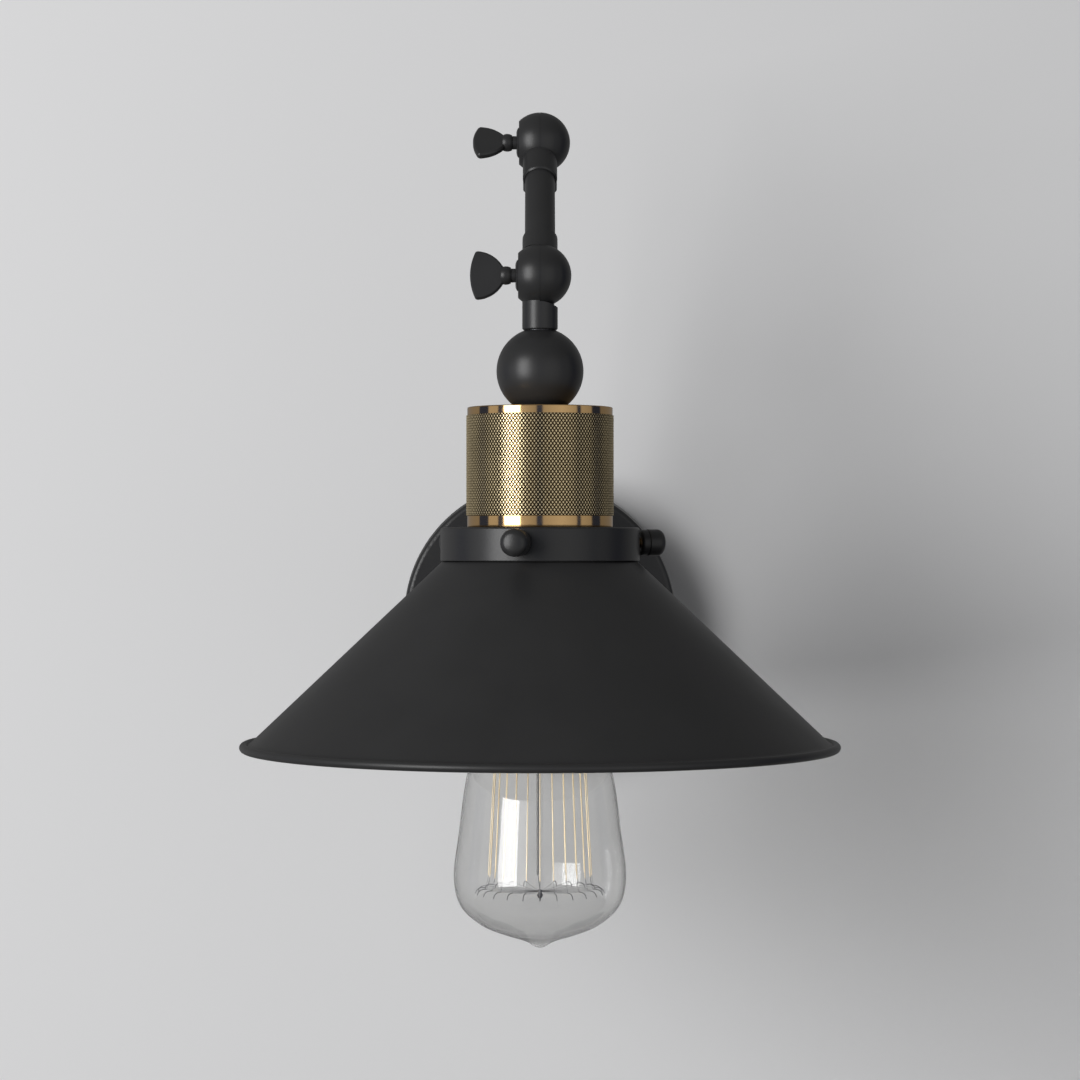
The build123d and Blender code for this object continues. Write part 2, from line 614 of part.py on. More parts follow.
for place, angle in THUMB_ANGLES.items():
    outward = Vector(sin(radians(angle)), -cos(radians(angle)), 0)
    radial = Plane(origin=Vector(0, LAMP_Y, THUMB_Z), x_dir=UP, z_dir=outward)
    with BuildPart() as thumb_stud:
        with BuildSketch(radial.offset(THUMB_STUD_START)):
            Circle(THUMB_STUD_R)
        extrude(amount=THUMB_KNOB_START + THUMB_HOLE_DEPTH - THUMB_STUD_START)
    finish(thumb_stud, f"{place}_shade_stud")
    with BuildPart() as thumb_knob:
        with BuildSketch(radial.offset(THUMB_KNOB_START)):
            Circle(THUMB_KNOB_R)
        extrude(amount=THUMB_KNOB_END - THUMB_KNOB_START)
        knob_axis = Axis(radial.origin, outward)
        fillet(thumb_knob.edges().filter_by(GeomType.CIRCLE).sort_by(knob_axis)[-1], radius=3.0)
        fillet(thumb_knob.edges().filter_by(GeomType.CIRCLE).sort_by(knob_axis)[0], radius=1.2)
        with BuildSketch(radial.offset(THUMB_KNOB_START)):
            Circle(THUMB_STUD_R + FIT)
        extrude(amount=THUMB_HOLE_DEPTH, mode=Mode.SUBTRACT)
        with BuildSketch(radial.offset(THUMB_GROOVE_START)):
            Circle(THUMB_KNOB_R + THUMB_GROOVE_DEPTH)
            Circle(THUMB_KNOB_R - THUMB_GROOVE_DEPTH, mode=Mode.SUBTRACT)
        extrude(amount=THUMB_GROOVE_WIDTH, mode=Mode.SUBTRACT)
    finish(thumb_knob, f"{place}_shade_knob")

# ---- lampholder ------------------------------------------------------------------------

with BuildPart() as holder_cap:
    with BuildSketch(LAMP_PROFILE):
        with BuildLine():
            Polyline(
                (NIPPLE_R + FIT, HOLDER_CAP_TOP_Z), (8.0, HOLDER_CAP_TOP_Z), (8.0, 68.5),
                (HOLDER_SHOULDER_R - 3.0, 68.5),
                (HOLDER_SHOULDER_R, 65.5), (HOLDER_SHOULDER_R, HOLDER_TOP_Z),
                (HOLDER_SHOULDER_R - 2.5, HOLDER_TOP_Z), (HOLDER_SHOULDER_R - 2.5, 65.0),
                (NIPPLE_R + FIT, 65.0), (NIPPLE_R + FIT, HOLDER_CAP_TOP_Z),
            )
        make_face()
    revolve(axis=LAMP_AXIS)
finish(holder_cap, "holder_cap")

with BuildPart() as holder_shell:
    cavity_r = SCREW_SHELL_R + SCREW_SHELL_WALL + FIT
    with BuildSketch(LAMP_PROFILE):
        with BuildLine():
            Polyline(
                (0, 34.0), (14.0, 34.0), (16.5, HOLDER_TOP_Z), (HOLDER_SHOULDER_R, HOLDER_TOP_Z),
                (HOLDER_SHOULDER_R, CUP_BOTTOM_Z + 0.1), (HOLDER_R, CUP_BOTTOM_Z + 0.1),
                (HOLDER_R, HOLDER_BOTTOM_Z), (cavity_r, HOLDER_BOTTOM_Z), (cavity_r, HOLDER_FLOOR_Z),
                (0, HOLDER_FLOOR_Z), (0, 34.0),
            )
        make_face()
    revolve(axis=LAMP_AXIS)
finish(holder_shell, "holder_shell")

with BuildPart() as holder_ring:
    with BuildSketch(lamp_plane(HOLDER_RING_BOTTOM_Z)):
        Circle(HOLDER_RING_R)
        Circle(HOLDER_R + 0.1, mode=Mode.SUBTRACT)
    extrude(amount=CUP_BOTTOM_Z - RING_WALL - HOLDER_RING_BOTTOM_Z)
    chamfer(holder_ring.edges().filter_by(GeomType.CIRCLE).sort_by(SortBy.RADIUS)[-2:], length=0.6)
finish(holder_ring, "holder_ring")

with BuildPart() as screw_shell:
    with BuildSketch(lamp_plane(3.0)):
        Circle(SCREW_SHELL_R + SCREW_SHELL_WALL)
        Circle(SCREW_SHELL_R, mode=Mode.SUBTRACT)
    extrude(amount=23.0)
finish(screw_shell, "screw_shell")

# sprung tab that meets the bulb's tip
with BuildPart() as centre_contact:
    with BuildSketch(lamp_plane(CONTACT_Z)):
        Rectangle(14.0, 5.0)
    extrude(amount=0.8)
    with BuildSketch(lamp_plane(BULB_TOP_Z + 0.2)):
        Circle(2.2)
    extrude(amount=CONTACT_Z - BULB_TOP_Z - 0.2)
finish(centre_contact, "centre_contact")

# ---- bulb ------------------------------------------------------------------------------

with BuildPart() as bulb_cap:
    thread_bottom = BULB_THREAD_START_Z
    thread_top = thread_bottom + BULB_THREAD_TURNS * BULB_THREAD_PITCH
    root_r = BULB_CAP_R - BULB_THREAD_DEPTH
    with BuildSketch(LAMP_PROFILE):
        with BuildLine():
            for i in range(BULB_THREAD_TURNS):
                start = thread_bottom + i * BULB_THREAD_PITCH
                ThreePointArc(
                    (root_r, start),
                    (BULB_CAP_R, start + BULB_THREAD_PITCH / 2),
                    (root_r, start + BULB_THREAD_PITCH),
                )
            Polyline(
                (root_r, thread_top), (root_r - 0.7, thread_top), (root_r - 0.7, 2.0),
                (BULB_NECK_R + 0.1, 1.8), (BULB_NECK_R + 0.1, -4.0), (BULB_CAP_R, -4.0), (BULB_CAP_R, 1.9),
                (root_r, thread_bottom),
            )
        make_face()
    revolve(axis=LAMP_AXIS)
finish(bulb_cap, "bulb_cap")

with BuildPart() as bulb_insulator:
    with BuildSketch(LAMP_PROFILE):
        with BuildLine():
            Polyline(
                (0, thread_top), (root_r - 0.2, thread_top), (5.2, BULB_TOP_Z - BULB_CONTACT_HEIGHT),
                (0, BULB_TOP_Z - BULB_CONTACT_HEIGHT), (0, thread_top),
            )
        make_face()
    revolve(axis=LAMP_AXIS)
finish(bulb_insulator, "bulb_insulator")

with BuildPart() as bulb_contact:
    with BuildSketch(lamp_plane(BULB_TOP_Z - BULB_CONTACT_HEIGHT)):
        Circle(BULB_CONTACT_R)
    extrude(amount=BULB_CONTACT_HEIGHT)
    fillet(bulb_contact.edges().filter_by(GeomType.CIRCLE).sort_by(Axis.Z)[-1], radius=0.6)
finish(bulb_contact, "bulb_contact")

# teardrop envelope: a straight neck, a flared shoulder and a round foot that ends in a small pip


def bulb_outline(inset):
    """Lines of the envelope's half section, moved in by inset, in a BuildLine."""
    widest = (BULB_WIDEST_R - inset, BULB_WIDEST_Z)
    shoulder = [(r - inset, z) for r, z in SHOULDER_POINTS]
    foot = [(r * (1 - inset / BULB_WIDEST_R), z + inset) for r, z in FOOT_POINTS]
    neck_r = BULB_NECK_R - inset
    Line((neck_r, BULB_NECK_TOP_Z), (neck_r, -6.0))
    Spline((neck_r, -6.0), *shoulder, widest, tangents=[(0, -1), (0, -1)])
    Spline(widest, *foot, (0, BULB_TIP_Z + inset), tangents=[(0, -1), (-1, 0)])


with BuildPart() as bulb_glass:
    with BuildSketch(LAMP_PROFILE):
        with BuildLine():
            bulb_outline(0)
            Polyline((0, BULB_TIP_Z), (0, BULB_NECK_TOP_Z), (BULB_NECK_R, BULB_NECK_TOP_Z))
        make_face()
    revolve(axis=LAMP_AXIS)
    with BuildSketch(LAMP_PROFILE):
        with BuildLine():
            bulb_outline(GLASS_WALL)
            Polyline(
                (0, BULB_TIP_Z + GLASS_WALL), (0, BULB_NECK_TOP_Z),
                (BULB_NECK_R - GLASS_WALL, BULB_NECK_TOP_Z),
            )
        make_face()
    revolve(axis=LAMP_AXIS, mode=Mode.SUBTRACT)
finish(bulb_glass, "bulb_glass")

# glass mount that closes the neck and carries the filament's rod
with BuildPart() as bulb_stem:
    with BuildSketch(LAMP_PROFILE):
        with BuildLine():
            Polyline(
                (0, 1.0), (11.2, 1.0), (11.2, -0.6), (6.0, -3.0), (4.2, -14.0), (2.4, -26.0),
                (CAGE_ROD_R, -33.0), (CAGE_ROD_R, HUB_FOOT_Z), (0, HUB_FOOT_Z), (0, 1.0),
            )
        make_face()
    revolve(axis=LAMP_AXIS)
finish(bulb_stem, "bulb_stem")


def lamp_point(r, angle, z):
    """Point at radius r and an angle in degrees about the lamp's axis, at height z."""
    return Vector(r * cos(radians(angle)), LAMP_Y + r * sin(radians(angle)), z)


CAGE_ANGLES = [360 / STRANDS * i for i in range(STRANDS)]
spoke_start_r = WIRE_HUB_R - 0.4
top_spoke_z = HUB_TOP_Z + WIRE_HUB_HEIGHT / 2
foot_spoke_z = HUB_FOOT_Z + WIRE_HUB_HEIGHT / 2
top_spokes = [
    (lamp_point(spoke_start_r, a, top_spoke_z), lamp_point(CAGE_TOP_R - 0.6, a, top_spoke_z))
    for a in CAGE_ANGLES
]
foot_spokes = [
    (lamp_point(spoke_start_r, a, foot_spoke_z), lamp_point(CAGE_FOOT_R + 4.6, a, HUB_FOOT_Z - 0.9))
    for a in CAGE_ANGLES
]
strands = [
    (lamp_point(CAGE_TOP_R, a, HUB_TOP_Z), lamp_point(CAGE_FOOT_R, a, HUB_FOOT_Z + 1.8))
    for a in CAGE_ANGLES
]

with BuildPart() as filament_hubs:
    for z in (HUB_TOP_Z, HUB_FOOT_Z):
        with BuildSketch(lamp_plane(z)):
            Circle(WIRE_HUB_R)
            Circle(CAGE_ROD_R + FIT, mode=Mode.SUBTRACT)
        extrude(amount=WIRE_HUB_HEIGHT)
    for start, end in top_spokes + foot_spokes:
        with BuildSketch(Plane(origin=start, z_dir=end - start)):
            Circle(WIRE_R)
        extrude(amount=(end - start).length)
finish(filament_hubs, "filament_hubs")

with BuildPart() as filament:
    for start, end in strands:
        with BuildSketch(Plane(origin=start, z_dir=end - start)):
            Circle(STRAND_R)
        extrude(amount=(end - start).length)
finish(filament, "filament")
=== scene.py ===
import json
import math

import bpy
import numpy as np
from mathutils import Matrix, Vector

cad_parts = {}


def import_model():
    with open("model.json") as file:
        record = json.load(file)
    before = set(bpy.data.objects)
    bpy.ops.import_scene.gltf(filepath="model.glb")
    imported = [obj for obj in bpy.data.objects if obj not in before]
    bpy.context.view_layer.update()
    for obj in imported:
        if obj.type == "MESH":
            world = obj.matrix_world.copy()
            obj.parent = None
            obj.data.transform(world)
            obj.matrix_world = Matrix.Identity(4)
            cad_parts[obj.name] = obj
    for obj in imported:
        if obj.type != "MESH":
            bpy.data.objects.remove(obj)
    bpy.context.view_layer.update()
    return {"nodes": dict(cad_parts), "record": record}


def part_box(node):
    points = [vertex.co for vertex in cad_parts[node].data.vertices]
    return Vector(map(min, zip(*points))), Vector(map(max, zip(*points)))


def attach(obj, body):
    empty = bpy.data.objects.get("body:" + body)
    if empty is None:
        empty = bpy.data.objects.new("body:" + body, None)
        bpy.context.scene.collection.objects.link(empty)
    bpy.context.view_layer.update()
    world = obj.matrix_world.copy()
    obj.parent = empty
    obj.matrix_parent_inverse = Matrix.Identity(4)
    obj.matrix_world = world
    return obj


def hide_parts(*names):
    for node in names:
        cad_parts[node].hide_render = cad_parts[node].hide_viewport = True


# Swing arm wall sconce in metres. +Z is up and +Y points into the wall, as in the frame.

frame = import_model()

MM = 0.001
UP = (0, 0, 1)


def centre(node):
    """Middle of a CAD node's box."""
    lo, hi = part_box(node)
    return (lo + hi) / 2


# ---- places taken from the frame -----------------------------------------------------

LAMP_Y = centre("socket_cup").y
AXIS_FOOT = Vector((0, LAMP_Y, 0))  # where the lamp head's axis crosses Z = 0
CUP_LO, CUP_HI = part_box("socket_cup")
KNURL_R = (CUP_HI.x - CUP_LO.x) / 2
SHADE_LO, SHADE_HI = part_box("shade")
RIM_R = SHADE_HI.x

# ---- mesh helpers --------------------------------------------------------------------

ON_AXIS = 1e-7  # a radius below this is a single point on the axis


def piece(name, verts, faces, materials, body, replaces=(), sharp=35, face_materials=None):
    """A smooth-shaded mesh that rides on a body and stands for some CAD nodes.

    Edges that turn by more than sharp degrees stay crisp. face_materials has an index into
    materials for each face.
    """
    mesh = bpy.data.meshes.new(name)
    mesh.from_pydata([tuple(v) for v in verts], [], faces)
    for material in materials:
        mesh.materials.append(material)
    if face_materials is not None:
        mesh.polygons.foreach_set("material_index", face_materials)
    mesh.shade_smooth()
    mesh.set_sharp_from_angle(angle=math.radians(sharp))
    mesh.update()
    obj = bpy.data.objects.new(name, mesh)
    bpy.context.scene.collection.objects.link(obj)
    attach(obj, body)
    if replaces:
        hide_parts(*replaces)


def in_mm(outline):
    """Outline given in millimetres, as metres."""
    return [tuple(v * MM for v in corner) for corner in outline]


def fillet(outline, steps=6):
    """Outline of (r, z) or (r, z, radius) corners, closed, with each radius drawn as an arc."""
    points = []
    count = len(outline)
    for i, corner in enumerate(outline):
        here = np.array(corner[:2], float)
        radius = corner[2] if len(corner) > 2 else 0.0
        if radius <= 0:
            points.append(here)
            continue
        before = np.array(outline[i - 1][:2], float) - here
        after = np.array(outline[(i + 1) % count][:2], float) - here
        before /= np.linalg.norm(before)
        after /= np.linalg.norm(after)
        half = math.acos(np.clip(before @ after, -1, 1)) / 2
        reach = radius / math.tan(half)
        bisector = before + after
        middle = here + bisector / np.linalg.norm(bisector) * radius / math.sin(half)
        start = here + before * reach - middle
        end = here + after * reach - middle
        turn = math.pi - 2 * half
        for k in range(steps + 1):
            t = k / steps
            arc = (math.sin((1 - t) * turn) * start + math.sin(t * turn) * end) / math.sin(turn)
            points.append(middle + arc)
    return points


def lathe(profile, sides, origin=AXIS_FOOT, axis=UP):
    """Vertices and faces of a closed profile of (r, h) turned round an axis through origin."""
    origin = Vector(origin)
    axis = Vector(axis).normalized()
    side = axis.orthogonal().normalized()
    other = axis.cross(side)
    verts = []
    rings = []
    for r, h in profile:
        if r < ON_AXIS:
            rings.append([len(verts)])
            verts.append(origin + axis * h)
            continue
        rings.append(list(range(len(verts), len(verts) + sides)))
        for k in range(sides):
            a = 2 * math.pi * k / sides
            verts.append(origin + axis * h + (side * math.cos(a) + other * math.sin(a)) * r)
    faces = []
    for a, b in zip(rings, rings[1:] + rings[:1]):
        if len(a) == 1 and len(b) == 1:
            continue
        for k in range(sides):
            n = (k + 1) % sides
            if len(a) == 1:
                faces.append((a[0], b[k], b[n]))
            elif len(b) == 1:
                faces.append((a[k], b[0], a[n]))
            else:
                faces.append((a[k], b[k], b[n], a[n]))
    return verts, faces


def tube(path, radius, sides):
    """Vertices and faces of a round wire along a path of points, closed at both ends."""
    path = [Vector(p) for p in path]
    verts, faces = [], []
    normal = None
    for i, p in enumerate(path):
        ahead = path[min(i + 1, len(path) - 1)] - path[max(i - 1, 0)]
        ahead.normalize()
        normal = ahead.orthogonal() if normal is None else normal - ahead * normal.dot(ahead)
        normal.normalize()
        other = ahead.cross(normal)
        for k in range(sides):
            a = 2 * math.pi * k / sides
            verts.append(p + (normal * math.cos(a) + other * math.sin(a)) * radius)
    for i in range(len(path) - 1):
        for k in range(sides):
            n = (k + 1) % sides
            faces.append((i * sides + k, i * sides + n, (i + 1) * sides + n, (i + 1) * sides + k))
    faces.append(tuple(reversed(range(sides))))
    faces.append(tuple(range(len(verts) - sides, len(verts))))
    return verts, faces


def merged(parts):
    """One list of vertices and faces from several."""
    verts, faces = [], []
    for v, f in parts:
        base = len(verts)
        verts.extend(v)
        faces.extend(tuple(i + base for i in face) for face in f)
    return verts, faces


# ---- node helpers --------------------------------------------------------------------

NOISE_RANGE = (0.3, 0.7)  # most of a noise texture's values lie in this range
MIX_FACTOR, MIX_A, MIX_B, MIX_RESULT = 0, 6, 7, 2  # sockets of a Mix node that mixes colours


class Tree:
    """Short ways to build a node tree."""

    def __init__(self, tree):
        self.tree = tree

    def plug(self, value, socket):
        """Links another node's output to a socket, or sets a plain value or colour on it."""
        if isinstance(value, bpy.types.NodeSocket):
            self.tree.links.new(value, socket)
        elif isinstance(value, tuple):
            socket.default_value = (*value, 1.0)
        else:
            socket.default_value = value

    def add(self, kind, **inputs):
        """New node, with inputs named as Blender does, but with _ for a space."""
        node = self.tree.nodes.new(kind)
        for key, value in inputs.items():
            self.plug(value, node.inputs[key.replace("_", " ")])
        return node

    def math(self, operation, *values):
        """Result of a Math node."""
        node = self.tree.nodes.new("ShaderNodeMath")
        node.operation = operation
        for value, socket in zip(values, node.inputs):
            self.plug(value, socket)
        return node.outputs[0]

    def span(self, value, low, high, start, end):
        """Maps value from start..end to low..high, clamped."""
        return self.add(
            "ShaderNodeMapRange", Value=value, From_Min=start, From_Max=end, To_Min=low, To_Max=high,
        ).outputs[0]

    def mix(self, factor, a, b):
        """Colour between a and b."""
        node = self.tree.nodes.new("ShaderNodeMix")
        node.data_type = "RGBA"
        for value, index in ((factor, MIX_FACTOR), (a, MIX_A), (b, MIX_B)):
            self.plug(value, node.inputs[index])
        return node.outputs[MIX_RESULT]

    def blend(self, factor, first, second, output):
        """Sends a mix of two shaders to an output node."""
        node = self.tree.nodes.new("ShaderNodeMixShader")
        for value, socket in zip((factor, first.outputs[0], second.outputs[0]), node.inputs):
            self.plug(value, socket)
        self.plug(node.outputs[0], output.inputs["Surface"])


class Surface(Tree):
    """A material whose main shader is the Principled BSDF."""

    def __init__(self, name):
        self.material = bpy.data.materials.new(name)
        self.material.use_nodes = True
        super().__init__(self.material.node_tree)
        self.shader = self.tree.nodes["Principled BSDF"]
        self.output = self.tree.nodes["Material Output"]
        self.place = self.add("ShaderNodeTexCoord").outputs["Object"]

    def noise(self, scale, detail, roughness=0.5, place=None):
        """Noise over the piece's own coordinates."""
        return self.add(
            "ShaderNodeTexNoise", Vector=place or self.place, Scale=scale, Detail=detail, Roughness=roughness,
        ).outputs["Fac"]

    def spread(self, noise, low, high):
        """Maps a noise's usual range to low..high."""
        return self.span(noise, low, high, *NOISE_RANGE)

    def bump(self, height, distance, strength):
        """Normal tilted by a height map."""
        return self.add("ShaderNodeBump", Height=height, Distance=distance, Strength=strength).outputs[0]

    def set(self, **inputs):
        """Sets inputs of the main shader, named as for add, and returns the material."""
        for key, value in inputs.items():
            self.plug(value, self.shader.inputs[key.replace("_", " ")])
        return self.material


# ---- materials -----------------------------------------------------------------------


def scaled(colour, share):
    """Colour made darker or lighter."""
    return tuple(share * c for c in colour)


def powder_coat(name, dark, light, roughness, specular=0.48):
    """Satin powder coat: a fine orange peel, and slow changes of tone and gloss."""
    n = Surface(name)
    cloud = n.noise(scale=35, detail=3)
    peel = n.noise(scale=1400, detail=2)
    grit = n.noise(scale=5200, detail=1)
    slow_gloss = n.spread(cloud, roughness - 0.03, roughness + 0.03)
    fine_gloss = n.spread(grit, -0.025, 0.025)
    height = n.math("ADD", peel, n.math("MULTIPLY", grit, 0.35))
    return n.set(
        Base_Color=n.mix(n.spread(cloud, 0, 1), dark, light),
        Roughness=n.math("ADD", slow_gloss, fine_gloss),
        Normal=n.bump(height, distance=0.03 * MM, strength=0.35),
        Specular_IOR_Level=specular,
    )


def brass(name, tone, dark, roughness, inner_r=0.0, outer_r=0.0, metallic=1.0):
    """Brushed brass. Between two radii about the lamp's axis, painted shade darkens it towards the inner one.
    """
    n = Surface(name)
    x, y, z = n.add("ShaderNodeSeparateXYZ", Vector=n.place).outputs
    lines = n.add("ShaderNodeCombineXYZ", X=0.0, Y=0.0, Z=z).outputs[0]
    brushed = n.noise(scale=9000, detail=2, roughness=0.7, place=lines)
    cloud = n.noise(scale=60, detail=4)
    speck = n.noise(scale=900, detail=2)
    tarnish = n.span(cloud, low=0, high=0.22, start=0.3, end=0.75)
    tint = n.mix(tarnish, tone, dark)
    brushing = n.span(brushed, low=roughness - 0.03, high=roughness + 0.03, start=0.25, end=0.75)
    rough = n.math("ADD", brushing, n.spread(speck, -0.01, 0.02))
    if outer_r:
        off_axis = n.math("SUBTRACT", y, LAMP_Y)
        squares = n.math("ADD", n.math("MULTIPLY", x, x), n.math("MULTIPLY", off_axis, off_axis))
        # painted shade: the grooves are painted nearly all dark, and made rougher
        painted_groove_shade = n.span(n.math("SQRT", squares), low=1, high=0, start=inner_r, end=outer_r)
        tint = n.mix(n.math("MULTIPLY", painted_groove_shade, 0.96), tint, dark)
        rough = n.math("ADD", rough, n.math("MULTIPLY", painted_groove_shade, 0.18))
    return n.set(
        Base_Color=tint, Metallic=metallic, Roughness=rough,
        Normal=n.bump(brushed, distance=0.002 * MM, strength=0.2),
    )


def metal(name, tone, dark, roughness):
    """Plated steel with a cloudy, slightly grained face."""
    n = Surface(name)
    cloud = n.noise(scale=120, detail=4)
    grain = n.noise(scale=2500, detail=2)
    slow_gloss = n.spread(cloud, roughness - 0.06, roughness + 0.08)
    return n.set(
        Base_Color=n.mix(n.spread(cloud, 0, 1), tone, dark), Metallic=1.0,
        Roughness=n.math("ADD", slow_gloss, n.spread(grain, -0.03, 0.03)),
        Normal=n.bump(grain, distance=0.02 * MM, strength=0.2),
    )


def moulded(name, tone, dark, roughness):
    """Moulded plastic with a faint mottle."""
    n = Surface(name)
    cloud = n.noise(scale=90, detail=3)
    grain = n.noise(scale=3000, detail=2)
    return n.set(
        Base_Color=n.mix(n.spread(cloud, 0, 1), tone, dark),
        Roughness=n.spread(grain, roughness - 0.05, roughness + 0.08),
        Normal=n.bump(grain, distance=0.02 * MM, strength=0.25),
    )


def clear_glass(name, tint, roughness, ior=1.5, gloss=0.0):
    """Clear glass, with very slight waves, that lets light through to what is inside it."""
    n = Surface(name)
    wave = n.noise(scale=45, detail=1)
    n.set(
        Base_Color=n.mix(n.spread(wave, 0, 1), tint, scaled(tint, 0.985)),
        Roughness=roughness, Transmission_Weight=1.0, IOR=ior, Coat_Weight=gloss, Coat_Roughness=0.0,
        Normal=n.bump(wave, distance=0.3 * MM, strength=0.12),
    )
    shadow = n.add("ShaderNodeLightPath").outputs["Is Shadow Ray"]
    through = n.add("ShaderNodeBsdfTransparent", Color=scaled(tint, 0.97))
    n.blend(shadow, n.shader, through, n.output)
    return n.material


COAT_TONES = (0.0225, 0.0225, 0.023), (0.0265, 0.0265, 0.027)
BLACK = powder_coat("satin_black_coat", *COAT_TONES, 0.34)
SHADE_BLACK = powder_coat("shade_black_coat", *COAT_TONES, 0.40)
SHADE_WHITE = powder_coat("shade_white_coat", (0.74, 0.73, 0.70), (0.80, 0.79, 0.76), 0.45, specular=0.5)
BRASS = brass("turned_brass", (0.80, 0.52, 0.24), (0.52, 0.32, 0.14), 0.09)
# between the two radii, the knurl's grooves get painted shade in the near-black dark tone
KNURLED = brass(
    "knurled_brass", (0.97, 0.79, 0.47), (0.02, 0.013, 0.006), 0.24,
    inner_r=KNURL_R - 0.2 * MM, outer_r=KNURL_R - 0.04 * MM, metallic=0.8,
)
ZINC = metal("zinc_plate", (0.58, 0.59, 0.62), (0.42, 0.43, 0.46), 0.34)
GREEN = powder_coat("green_lacquer", (0.02, 0.16, 0.05), (0.03, 0.24, 0.08), 0.35)
NYLON = moulded("natural_nylon", (0.72, 0.71, 0.66), (0.62, 0.61, 0.57), 0.45)
PHENOLIC = moulded("black_phenolic", (0.022, 0.018, 0.016), (0.03, 0.025, 0.022), 0.3)
SHELL_BRASS = metal("pressed_brass", (0.76, 0.62, 0.36), (0.60, 0.46, 0.24), 0.26)
CAP_METAL = metal("bulb_cap_brass", (0.78, 0.66, 0.42), (0.62, 0.50, 0.30), 0.24)
VITRITE = moulded("vitrite", (0.012, 0.012, 0.016), (0.02, 0.02, 0.026), 0.12)
# less refraction than real glass keeps the edges soft and pale, and the coat keeps the reflections
GLASS = clear_glass("bulb_glass_clear", (0.905, 0.905, 0.9), 0.0, ior=1.2, gloss=1.0)
STEM = clear_glass("stem_glass_clear", (0.95, 0.96, 0.95), 0.02)
MOLYBDENUM = metal("molybdenum_wire", (0.16, 0.16, 0.165), (0.09, 0.09, 0.095), 0.4)
ROD_GREY = moulded("smoked_glass_rod", (0.19, 0.19, 0.185), (0.15, 0.15, 0.147), 0.2)
AMBER = metal("amber_filament", (0.93, 0.80, 0.56), (0.88, 0.71, 0.45), 0.42)

# the material of each slot in the record, for the CAD nodes
FINISH = {
    "black_coat": BLACK, "shade_coat": SHADE_BLACK, "brass": BRASS, "zinc_steel": ZINC,
    "green_screw": GREEN, "nylon": NYLON, "phenolic": PHENOLIC, "shell_brass": SHELL_BRASS,
    "cap_metal": CAP_METAL, "vitrite": VITRITE, "bulb_glass": GLASS, "stem_glass": STEM,
    "support_wire": MOLYBDENUM, "filament_wire": AMBER,
}
for subpart in frame["record"]["subparts"]:
    node = frame["nodes"][subpart["node"]]
    for material_slot in node.material_slots:
        material_slot.material = FINISH[subpart["material_slot"]]

# ---- knurled socket cup --------------------------------------------------------------

KNURL_PITCH = 0.915 * MM  # height between rows of diamonds
KNURL_COUNT = 130
GROOVE_R = KNURL_R - 0.6 * MM
CREST = 0.53  # share of a diamond taken by its worn, slightly domed top
CREST_DROP = 0.03 * MM

CUP_SIDES = 256
CUP_INNER_R = KNURL_R - 2.6 * MM
CORE_R = GROOVE_R + 0.02 * MM  # the wall just covers the bottom of the knurl's grooves
BAND_R = KNURL_R - 0.4 * MM  # plain bands below and above the knurl
BAND_EDGE = 0.35 * MM
KNURL_LOW = CUP_LO.z + 4.5 * MM
KNURL_HIGH = CUP_HI.z - 3.1 * MM
BALL_SEAT_R = 9.2 * MM  # hole in the cup's top, under the head ball
SEAT_CHAMFER_R = BALL_SEAT_R + 3 * MM
SEAT_CHAMFER_Z = CUP_HI.z - 1.6 * MM
CUP_ROOF_Z = CUP_HI.z - 4.6 * MM


def knurl(low, high):
    """Band of raised diamonds between two heights, as vertices and faces."""
    rows = 2 * round((high - low) / KNURL_PITCH / 2)
    step = (high - low) / rows
    verts, faces = [], []

    def angle_at(column):
        return 2 * math.pi * column / KNURL_COUNT

    def point(angle, height, r):
        verts.append((r * math.cos(angle), LAMP_Y + r * math.sin(angle), height))
        return len(verts) - 1

    lattice = []
    for row in range(rows + 1):
        angles = [angle_at(col + 0.5 * (row % 2)) for col in range(KNURL_COUNT)]
        lattice.append([point(angle, low + row * step, GROOVE_R) for angle in angles])
    for row in range(rows + 1):
        shift = row % 2
        height = low + row * step
        for col in range(KNURL_COUNT):
            middle = angle_at(col + 0.5 * shift + 0.5)
            left = lattice[row][col]
            right = lattice[row][(col + 1) % KNURL_COUNT]
            over = (col + shift) % KNURL_COUNT
            corners = [right]
            if row < rows:
                corners.append(lattice[row + 1][over])
            corners.append(left)
            if row > 0:
                corners.append(lattice[row - 1][over])
            tops = []
            for corner in corners:
                x, y, z = verts[corner]
                swing = (math.atan2(y - LAMP_Y, x) - middle + math.pi) % (2 * math.pi) - math.pi
                top_z = height + (z - height) * CREST
                tops.append(point(middle + swing * CREST, top_z, KNURL_R - CREST_DROP))
            peak = point(middle, height, KNURL_R)
            for k, corner in enumerate(corners):
                m = (k + 1) % len(corners)
                if {corner, corners[m]} == {left, right}:
                    # a diamond on the band's edge is cut straight through its peak
                    faces.append((corner, corners[m], tops[m], peak, tops[k]))
                else:
                    faces.append((corner, corners[m], tops[m], tops[k]))
                    faces.append((tops[k], tops[m], peak))
    return verts, faces


def cup_wall():
    """Bottom band, the core behind the knurl, and the top band with the ball's seat."""
    bottom = fillet([
        (CUP_INNER_R, CUP_LO.z), (BAND_R, CUP_LO.z, BAND_EDGE), (BAND_R, KNURL_LOW, BAND_EDGE),
        (CUP_INNER_R, KNURL_LOW),
    ])
    core = [(CUP_INNER_R, KNURL_LOW), (CORE_R, KNURL_LOW), (CORE_R, KNURL_HIGH), (CUP_INNER_R, KNURL_HIGH)]
    top = fillet([
        (CUP_INNER_R, KNURL_HIGH), (BAND_R, KNURL_HIGH, 0.2 * MM), (BAND_R, CUP_HI.z, 0.4 * MM),
        (SEAT_CHAMFER_R, CUP_HI.z, 0.5 * MM), (BALL_SEAT_R, SEAT_CHAMFER_Z),
        (BALL_SEAT_R, CUP_ROOF_Z), (CUP_INNER_R, CUP_ROOF_Z),
    ])
    return merged([lathe(profile, CUP_SIDES) for profile in (bottom, core, top)])


